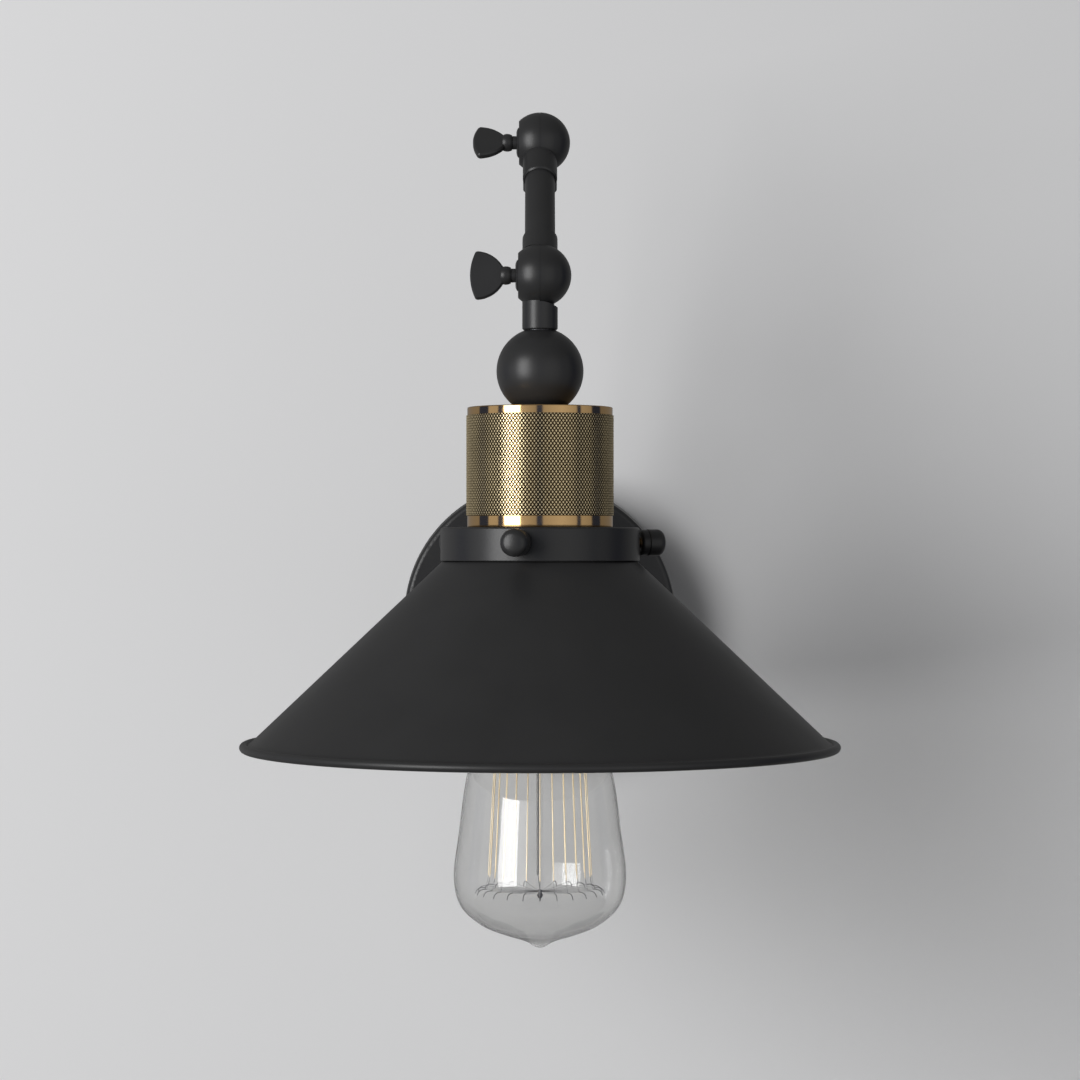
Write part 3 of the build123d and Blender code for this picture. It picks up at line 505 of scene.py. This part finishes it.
verts, faces = knurl(KNURL_LOW, KNURL_HIGH)
piece("cup_knurl", verts, faces, [KNURLED], "head", sharp=32)
verts, faces = cup_wall()
piece("cup_wall", verts, faces, [BRASS], "head", replaces=["socket_cup"])

# ---- shade ---------------------------------------------------------------------------

SHADE_SIDES = 512
SHADE_SHEET = 1.0 * MM
NECK_R = 34.6 * MM
SHOULDER_R, SHOULDER_Z = 36.9 * MM, 25.75 * MM  # where the neck turns into the cone
FOOT_R, FOOT_Z = 107.5 * MM, -41.2 * MM  # where the cone turns out into the rolled rim
BEAD_R = 1.6 * MM
BEAD_START, BEAD_STEP = 150, 20  # degrees round the roll, from where the cone meets it
BEAD_POINTS = 15


def shade():
    """Spun cone, black outside and white inside, with its rim rolled outwards over a wire."""
    bead_r, bead_z = RIM_R - BEAD_R, SHADE_LO.z + BEAD_R
    run, fall = FOOT_R - SHOULDER_R, SHOULDER_Z - FOOT_Z
    slant = math.hypot(run, fall)
    inward_r, inward_z = -SHADE_SHEET * fall / slant, -SHADE_SHEET * run / slant
    outer = [
        (NECK_R, SHADE_HI.z, 0.3 * MM), (NECK_R, SHOULDER_Z + 0.4 * MM, 0.6 * MM),
        (SHOULDER_R - 0.3 * MM, SHOULDER_Z + 0.2 * MM, 0.9 * MM),
        (FOOT_R + 0.2 * MM, FOOT_Z - 0.1 * MM, 1.6 * MM),
    ]
    roll = []
    for k in range(BEAD_POINTS):
        a = math.radians(BEAD_START - BEAD_STEP * k)
        roll.append((bead_r + BEAD_R * math.cos(a), bead_z + BEAD_R * math.sin(a)))
    inner = [
        (FOOT_R - 0.6 * MM, bead_z - 0.6 * MM, 1.4 * MM),
        (FOOT_R + inward_r - 0.6 * MM, FOOT_Z + inward_z),
        (SHOULDER_R + inward_r, SHOULDER_Z + inward_z, 1.0 * MM),
        (NECK_R - SHADE_SHEET, SHOULDER_Z + inward_z, 0.6 * MM),
        (NECK_R - SHADE_SHEET, SHADE_HI.z, 0.3 * MM),
    ]
    profile = fillet(outer + roll + inner)
    verts, faces = lathe(profile, SHADE_SIDES)
    # the white begins under the roll, just inside its lowest point
    white_from = next(
        i for i, (r, z) in enumerate(profile) if z < bead_z - 1.3 * MM and r < bead_r - 0.2 * MM
    )
    face_materials = [int(i >= white_from) for i in range(len(profile)) for _ in range(SHADE_SIDES)]
    piece(
        "shade_cone", verts, faces, [SHADE_BLACK, SHADE_WHITE], "head", replaces=["shade"],
        face_materials=face_materials,
    )


shade()

# ---- knobs of the shade's thumbscrews --------------------------------------------------

THUMB_ANGLES = {"front": -11.6, "right": 108.0, "left": -132.0}  # from the front towards +X
THUMB_Z = 33 * MM
THUMB_STUD_R = 2.05 * MM
THUMB_HOLE_END = 43.4 * MM
KNOB_START, KNOB_END = 39.4 * MM, 49.3 * MM
FLANGE_R, FLANGE_END = 4.9 * MM, 42.2 * MM
KNOB_NECK_R = 4.65 * MM  # narrow groove between the flange and the barrel
NECK_START, NECK_END = FLANGE_END + 0.15 * MM, FLANGE_END + 0.35 * MM
BARREL_R = 5.05 * MM
BARREL_START, BARREL_END = FLANGE_END + 0.5 * MM, KNOB_END - 0.6 * MM
KNOB_DOME_R = 2.7 * MM
KNOB_CROWN = 0.3 * MM  # how far the domed end stands out past KNOB_END
KNOB_SIDES = 96

for place, angle in THUMB_ANGLES.items():
    turn = math.radians(angle)
    profile = fillet([
        (THUMB_STUD_R, KNOB_START, 0.2 * MM), (FLANGE_R, KNOB_START, 1.1 * MM),
        (FLANGE_R, FLANGE_END, 0.15 * MM), (KNOB_NECK_R, NECK_START),
        (KNOB_NECK_R, NECK_END), (BARREL_R, BARREL_START, 0.2 * MM),
        (BARREL_R, BARREL_END, KNOB_DOME_R), (0, KNOB_END + KNOB_CROWN),
        (0, THUMB_HOLE_END), (THUMB_STUD_R, THUMB_HOLE_END),
    ], steps=8)
    outwards = (math.sin(turn), -math.cos(turn), 0)
    verts, faces = lathe(profile, KNOB_SIDES, (0, LAMP_Y, THUMB_Z), outwards)
    piece(
        f"{place}_knob_turned", verts, faces, [BLACK], f"{place}_thumbscrew",
        replaces=[f"{place}_shade_knob"],
    )

# ---- seals between the halves of the ball knuckles ---------------------------------------

BALL_R = 11.75 * MM
SEAL_IN_R, SEAL_OUT_R = BALL_R - 1.3 * MM, BALL_R - 0.22 * MM
SEAL_HALF = 0.06 * MM  # half of a seal's thickness
SEAL_SIDES = 128

for joint, body in (("base", "base_swivel"), ("elbow", "rear_arm"), ("head", "front_arm")):
    washer = centre(f"{joint}_friction_washer")
    profile = [
        (SEAL_IN_R, -SEAL_HALF), (SEAL_OUT_R, -SEAL_HALF), (SEAL_OUT_R, SEAL_HALF), (SEAL_IN_R, SEAL_HALF),
    ]
    verts, faces = lathe(profile, SEAL_SIDES, (0, washer.y, washer.z), (1, 0, 0))
    piece(f"{joint}_split_seal", verts, faces, [BLACK], body)

# ---- bulb's screw cap ------------------------------------------------------------------

CAP_R = 13.1 * MM
CAP_SHEET = 0.35 * MM
THREAD_PITCH = 3.6 * MM
THREAD_DEPTH = 0.9 * MM
THREAD_LOW, THREAD_HIGH = 2.4 * MM, 20.4 * MM
SKIRT_TOP = THREAD_LOW - 1.2 * MM  # the plain skirt below the thread
CAP_FOOT = -4.0 * MM
CAP_TOP_R, CAP_TOP = 8.2 * MM, 21.4 * MM
CAP_SIDES, THREAD_ROWS = 96, 120


def screw_cap():
    """Thin metal cap with a rolled right-hand thread, open at the foot."""
    verts, faces = [], []

    def thread_r(z, a):
        fade = max(0.0, min(1, (z - THREAD_LOW) / THREAD_PITCH, (THREAD_HIGH - z) / THREAD_PITCH))
        wave = 0.5 + 0.5 * math.cos(2 * math.pi * (z - THREAD_LOW) / THREAD_PITCH - a)
        return CAP_R - THREAD_DEPTH * (1 - wave * fade)

    def ring(z, r=None):
        for k in range(CAP_SIDES):
            a = 2 * math.pi * k / CAP_SIDES
            here = thread_r(z, a) if r is None else r
            verts.append((here * math.cos(a), LAMP_Y + here * math.sin(a), z))

    ring(CAP_FOOT, CAP_R)
    ring(SKIRT_TOP, CAP_R)
    for row in range(THREAD_ROWS + 1):
        ring(THREAD_LOW + (THREAD_HIGH - THREAD_LOW) * row / THREAD_ROWS)
    ring(CAP_TOP, CAP_TOP_R)
    ring(CAP_TOP - CAP_SHEET, CAP_TOP_R)
    inner_r = CAP_R - THREAD_DEPTH - CAP_SHEET
    ring(THREAD_HIGH - CAP_SHEET, inner_r)
    ring(CAP_FOOT, inner_r)
    rings = len(verts) // CAP_SIDES
    for i in range(rings):
        low, high = i * CAP_SIDES, (i + 1) % rings * CAP_SIDES
        for k in range(CAP_SIDES):
            n = (k + 1) % CAP_SIDES
            faces.append((low + k, low + n, high + n, high + k))
    return verts, faces


verts, faces = screw_cap()
piece("cap_thread", verts, faces, [CAP_METAL], "bulb", replaces=["bulb_cap"], sharp=50)

# ---- filament cage ---------------------------------------------------------------------

STRANDS = 24
STRAND_R = 0.17 * MM
STRAND_SIDES, WIRE_SIDES, HUB_SIDES = 10, 8, 32
CAGE_TOP = (16.4, -36)  # the ends of a strand on its two spiders, as (r, z) in mm
CAGE_FOOT = (19.3, -91.5)

# each wire of the two spiders, as its route in (r, z) and its radius, in mm
SPIDER_WIRES = [
    ([(0.9, -97.5), (8, -97.3), (15, -96.7), (20.6, -96.1)], 0.055),  # foot spoke
    ([(20.4, -96.12), (21.8, -96.1), (22.9, -96.4), (23.7, -97.1), (24.2, -98.3)], 0.15),  # foot hook
    ([(19.3, -91.3), (19.6, -93.5), (20.4, -96.0)], 0.06),  # from a strand's foot down to its hook
    ([(0.9, -34.6), (9, -34.5), (15.2, -34.9), (16.2, -35.3), (16.5, -36.3)], 0.12),  # top spoke
]
FOOT_KNOB = [
    (0, -96.9), (0.75, -96.9), (0.9, -97.4), (0.7, -98.2), (1.15, -98.9), (0.8, -99.8), (0.3, -100.2),
    (0.25, -101), (0, -101),
]
TOP_HUB = [(0, -33.9), (1.1, -33.9), (1.3, -34.6), (1.1, -35.4), (0, -35.4)]


def radial_wire(route, angle, radius, sides):
    """Wire along (r, z) points in mm, in the plane at an angle in degrees about the bulb's axis."""
    a = math.radians(angle)
    path = [Vector((r * math.cos(a), LAMP_Y + r * math.sin(a), z)) for r, z in in_mm(route)]
    return tube(path, radius, sides)


cage_angles = [360 * i / STRANDS for i in range(STRANDS)]
strands = [radial_wire([CAGE_TOP, CAGE_FOOT], angle, STRAND_R, STRAND_SIDES) for angle in cage_angles]
verts, faces = merged(strands)
piece("cage_strands", verts, faces, [AMBER], "bulb", replaces=["filament"], sharp=60)

spiders = [
    radial_wire(route, angle, radius * MM, WIRE_SIDES)
    for angle in cage_angles for route, radius in SPIDER_WIRES
]
spiders += [lathe(in_mm(outline), HUB_SIDES) for outline in (FOOT_KNOB, TOP_HUB)]
verts, faces = merged(spiders)
piece(
    "cage_spiders", verts, faces, [MOLYBDENUM], "bulb", replaces=["filament_hubs"],
    sharp=50,
)

# ---- bulb's glass ----------------------------------------------------------------------

# (r, z) in mm down the outside of the glass, from its neck to the drawn tip
GLASS_BODY = [
    (12.5, 1.6), (12.5, -6), (15.2, -16), (21.4, -34), (27.3, -54), (30.3, -75), (32.2, -93),
    (29.8, -102.6), (22.4, -109.6), (13.6, -113.4), (7.6, -115.3),
]
GLASS_TIP = [(4.6, -116.5), (2.6, -117.7), (1.2, -118.35), (0, -118.6)]
GLASS_WALL = 0.6 * MM
GLASS_SIDES = 256
INNER_TIP_R = 0.3 * MM  # closer to the axis than this, the inside is closed by a shallow cone
INNER_TIP_DROP = 0.05 * MM


def smooth_curve(points, steps=14):
    """Smooth curve through points, which may be unevenly spaced."""
    points = [np.array(p, float) * MM for p in points]
    points = [2 * points[0] - points[1], *points, 2 * points[-1] - points[-2]]
    curve = []
    for before, start, end, after in zip(points, points[1:], points[2:], points[3:]):
        knots = [0.0]
        for p, q in ((before, start), (start, end), (end, after)):
            knots.append(knots[-1] + np.linalg.norm(q - p) ** 0.5)
        k0, k1, k2, k3 = knots
        for step in range(steps):
            t = k1 + (k2 - k1) * step / steps
            a1 = (before * (k1 - t) + start * (t - k0)) / (k1 - k0)
            a2 = (start * (k2 - t) + end * (t - k1)) / (k2 - k1)
            a3 = (end * (k3 - t) + after * (t - k2)) / (k3 - k2)
            b1 = (a1 * (k2 - t) + a2 * (t - k0)) / (k2 - k0)
            b2 = (a2 * (k3 - t) + a3 * (t - k1)) / (k3 - k1)
            curve.append((b1 * (k2 - t) + b2 * (t - k1)) / (k2 - k1))
    curve.append(points[-2])
    return curve


def bulb_glass():
    """Blown envelope with an even wall and a small drawn tip."""
    outer = smooth_curve(GLASS_BODY + GLASS_TIP)
    outer[-1][0] = 0
    inner = [np.array([outer[0][0] - GLASS_WALL, outer[0][1]])]
    for before, here, after in zip(outer, outer[1:], outer[2:]):
        along = after - before
        inward = np.array([along[1], -along[0]]) / np.linalg.norm(along)
        wall = here + inward * GLASS_WALL
        if wall[0] > INNER_TIP_R:
            inner.append(wall)
    inner.append(np.array([0, inner[-1][1] - INNER_TIP_DROP]))
    return lathe(outer + inner[::-1], GLASS_SIDES)


verts, faces = bulb_glass()
piece("bulb_envelope", verts, faces, [GLASS], "bulb", replaces=["bulb_glass"], sharp=60)

# ---- glass mount in the bulb's neck, and the rod that hangs from it ----------------------

# (r, z) or (r, z, radius) in mm round one side of the mount
STEM_OUTLINE = [
    (0, 1.0), (11.2, 1.0), (11.2, -0.6, 0.5), (6.0, -3.0, 1.5), (4.2, -14.0, 3), (2.4, -26.0, 3),
    (0.5, -33.0, 0.6), (0, -33.0),
]
ROD_R = 0.45 * MM
ROD_TOP, ROD_END = -30 * MM, -91.3 * MM
ROD_WIRE_R = 0.16 * MM  # wire from the rod's end to the foot spider
ROD_WIRE_START, ROD_WIRE_END = ROD_END + 0.5 * MM, -97.5 * MM
ROD_X = -0.85 * MM  # the rod stands a little off the bulb's axis
STEM_SIDES, ROD_SIDES, ROD_WIRE_SIDES = 96, 24, 12

verts, faces = lathe(fillet(in_mm(STEM_OUTLINE)), STEM_SIDES)
piece("stem_mount", verts, faces, [STEM], "bulb", replaces=["bulb_stem"])
verts, faces = merged([
    tube([(ROD_X, LAMP_Y, ROD_TOP), (ROD_X, LAMP_Y, ROD_END)], ROD_R, ROD_SIDES),
    tube([(ROD_X, LAMP_Y, ROD_WIRE_START), (0, LAMP_Y, ROD_WIRE_END)], ROD_WIRE_R, ROD_WIRE_SIDES),
])
piece("cage_rod", verts, faces, [ROD_GREY], "bulb")

# ---- wall ------------------------------------------------------------------------------

WALL_HALF_WIDTH = 0.49
WALL_FOOT, WALL_TOP = -1.1, 1.2


def wall_paint():
    """Matt paint that shows on the front of the wall and is clear from behind."""
    tone = (0.78, 0.78, 0.785)
    n = Surface("wall_paint")
    cloud = n.noise(scale=3, detail=2)
    n.set(Base_Color=n.mix(n.spread(cloud, 0, 1), tone, scaled(tone, 0.99)), Roughness=0.9)
    behind = n.add("ShaderNodeNewGeometry").outputs["Backfacing"]
    n.blend(behind, n.shader, n.add("ShaderNodeBsdfTransparent"), n.output)
    return n.material


def wall():
    """Flat wall panel, which polished parts don't mirror."""
    left, right = -WALL_HALF_WIDTH, WALL_HALF_WIDTH
    corners = [(left, 0, WALL_FOOT), (right, 0, WALL_FOOT), (right, 0, WALL_TOP), (left, 0, WALL_TOP)]
    mesh = bpy.data.meshes.new("wall")
    mesh.from_pydata(corners, [], [(0, 1, 2, 3)])
    mesh.materials.append(wall_paint())
    obj = bpy.data.objects.new("wall", mesh)
    bpy.context.scene.collection.objects.link(obj)
    obj.visible_glossy = False


wall()

# ---- lights ----------------------------------------------------------------------------

LIGHT_AIM = Vector((0, LAMP_Y, 0.03))


def area(name, azimuth, elevation, distance, width, height, power):
    """Soft panel light aimed at the lamp; azimuth 0 is the camera's side and grows to the left."""
    a, e = math.radians(azimuth), math.radians(elevation)
    back = Vector((-math.sin(a) * math.cos(e), -math.cos(a) * math.cos(e), math.sin(e)))
    data = bpy.data.lights.new(name, "AREA")
    data.shape = "RECTANGLE"
    data.size = width
    data.size_y = height
    data.energy = power
    obj = bpy.data.objects.new(name, data)
    obj.location = LIGHT_AIM + back * distance
    obj.rotation_euler = (-back).to_track_quat("-Z", "Y").to_euler()
    bpy.context.scene.collection.objects.link(obj)
    return obj


# both light the matt surfaces, and the lamp's metal and glass mirror only the second
matt_key = area("key_middle", azimuth=35, elevation=8, distance=2.9, width=1.85, height=2.2, power=36.5)
matt_key.visible_glossy = False
mirrored_key = area("key_panel", azimuth=45, elevation=8, distance=2.6, width=1.26, height=1.98, power=39.5)
mirrored_key.rotation_euler.rotate_axis("Z", math.radians(3))

# ---- room that the metal mirrors -------------------------------------------------------

# (degrees to the right of the camera's side, brightness), blended from each stop to the next
ROOM_STOPS = [
    (-180, 0.20), (-112, 0.24), (-111, 0.03), (-90, 0.03), (-89, 0.46), (-70, 0.46), (-69, 0.04),
    (-61, 0.04), (-60, 0.50), (-30, 0.50), (-6, 0.33), (-4.5, 0.04), (3.5, 0.04), (5, 0.38),
    (20, 0.46), (35, 0.52), (50, 0.44), (60, 0.38), (61.5, 0.03), (67, 0.03), (68.5, 0.38),
    (89.5, 0.30), (90.5, 0.02), (110, 0.02), (111.5, 0.17), (180, 0.20),
]
GAP_LEVEL = 0.1  # anything darker is a gap between two panels
GAP_TINT = (1, 1.5, 3.8)  # the gaps open on to cooler, unlit parts of the room
PANEL_END, CEILING_START = 0.32, 0.6  # how steeply up or down the panels give way to the ceiling
CEILING = (0.15, 0.15, 0.15)
BACKDROP = (0.6, 0.6, 0.605)  # what shows past the wall's edges and through the glass
ROOM_STRENGTH = 1.02
DIFFUSE_STRENGTH = 0.54  # the room's strength as a light for matt surfaces


def stop_colour(level):
    """Colour of the room at a stop."""
    tint = GAP_TINT if level < GAP_LEVEL else (1, 1, 1)
    return (*scaled(tint, level), 1)


def world():
    """Pale room with dark gaps between its panels, which polished metal picks up."""
    room = bpy.data.worlds.new("studio")
    bpy.context.scene.world = room
    room.use_nodes = True
    room.node_tree.nodes.clear()
    n = Tree(room.node_tree)
    direction = n.add("ShaderNodeTexCoord").outputs["Generated"]
    x, y, z = n.add("ShaderNodeSeparateXYZ", Vector=direction).outputs
    turn = n.math("ARCTAN2", x, n.math("MULTIPLY", y, -1.0))
    ramp = n.add("ShaderNodeValToRGB", Fac=n.math("ADD", n.math("DIVIDE", turn, 2 * math.pi), 0.5))
    stops = ramp.color_ramp.elements
    for end, (_, level) in zip(stops, (ROOM_STOPS[0], ROOM_STOPS[-1])):
        end.color = stop_colour(level)
    for angle, level in ROOM_STOPS[1:-1]:
        stops.new(0.5 + angle / 360).color = stop_colour(level)
    # the panels end above and below, at half the height on the left
    left_half = n.math("LESS_THAN", x, 0.0)
    rise = n.math("MULTIPLY", n.math("ABSOLUTE", z), n.math("ADD", left_half, 1.0))
    colour = n.mix(n.span(rise, 0, 1, PANEL_END, CEILING_START), ramp.outputs[0], CEILING)
    path = n.add("ShaderNodeLightPath")
    dimmed = n.math(
        "MULTIPLY_ADD", path.outputs["Is Diffuse Ray"], DIFFUSE_STRENGTH - ROOM_STRENGTH, ROOM_STRENGTH
    )
    studio = n.add("ShaderNodeBackground", Color=colour, Strength=dimmed)
    backdrop = n.add("ShaderNodeBackground", Color=BACKDROP)
    seen = n.math("MAXIMUM", path.outputs["Is Camera Ray"], path.outputs["Is Transmission Ray"])
    n.blend(seen, studio, backdrop, n.add("ShaderNodeOutputWorld"))


world()

# ---- camera ----------------------------------------------------------------------------

camera_data = bpy.data.cameras.new("camera")
camera_data.sensor_width = 36.0
camera_data.lens = 97.85
camera = bpy.data.objects.new("camera", camera_data)
camera.location = (0, -1.297, 0.034)
camera.rotation_euler = (math.radians(90), 0, 0)
bpy.context.scene.collection.objects.link(camera)
bpy.context.scene.camera = camera
bpy.context.scene.view_settings.view_transform = "Standard"
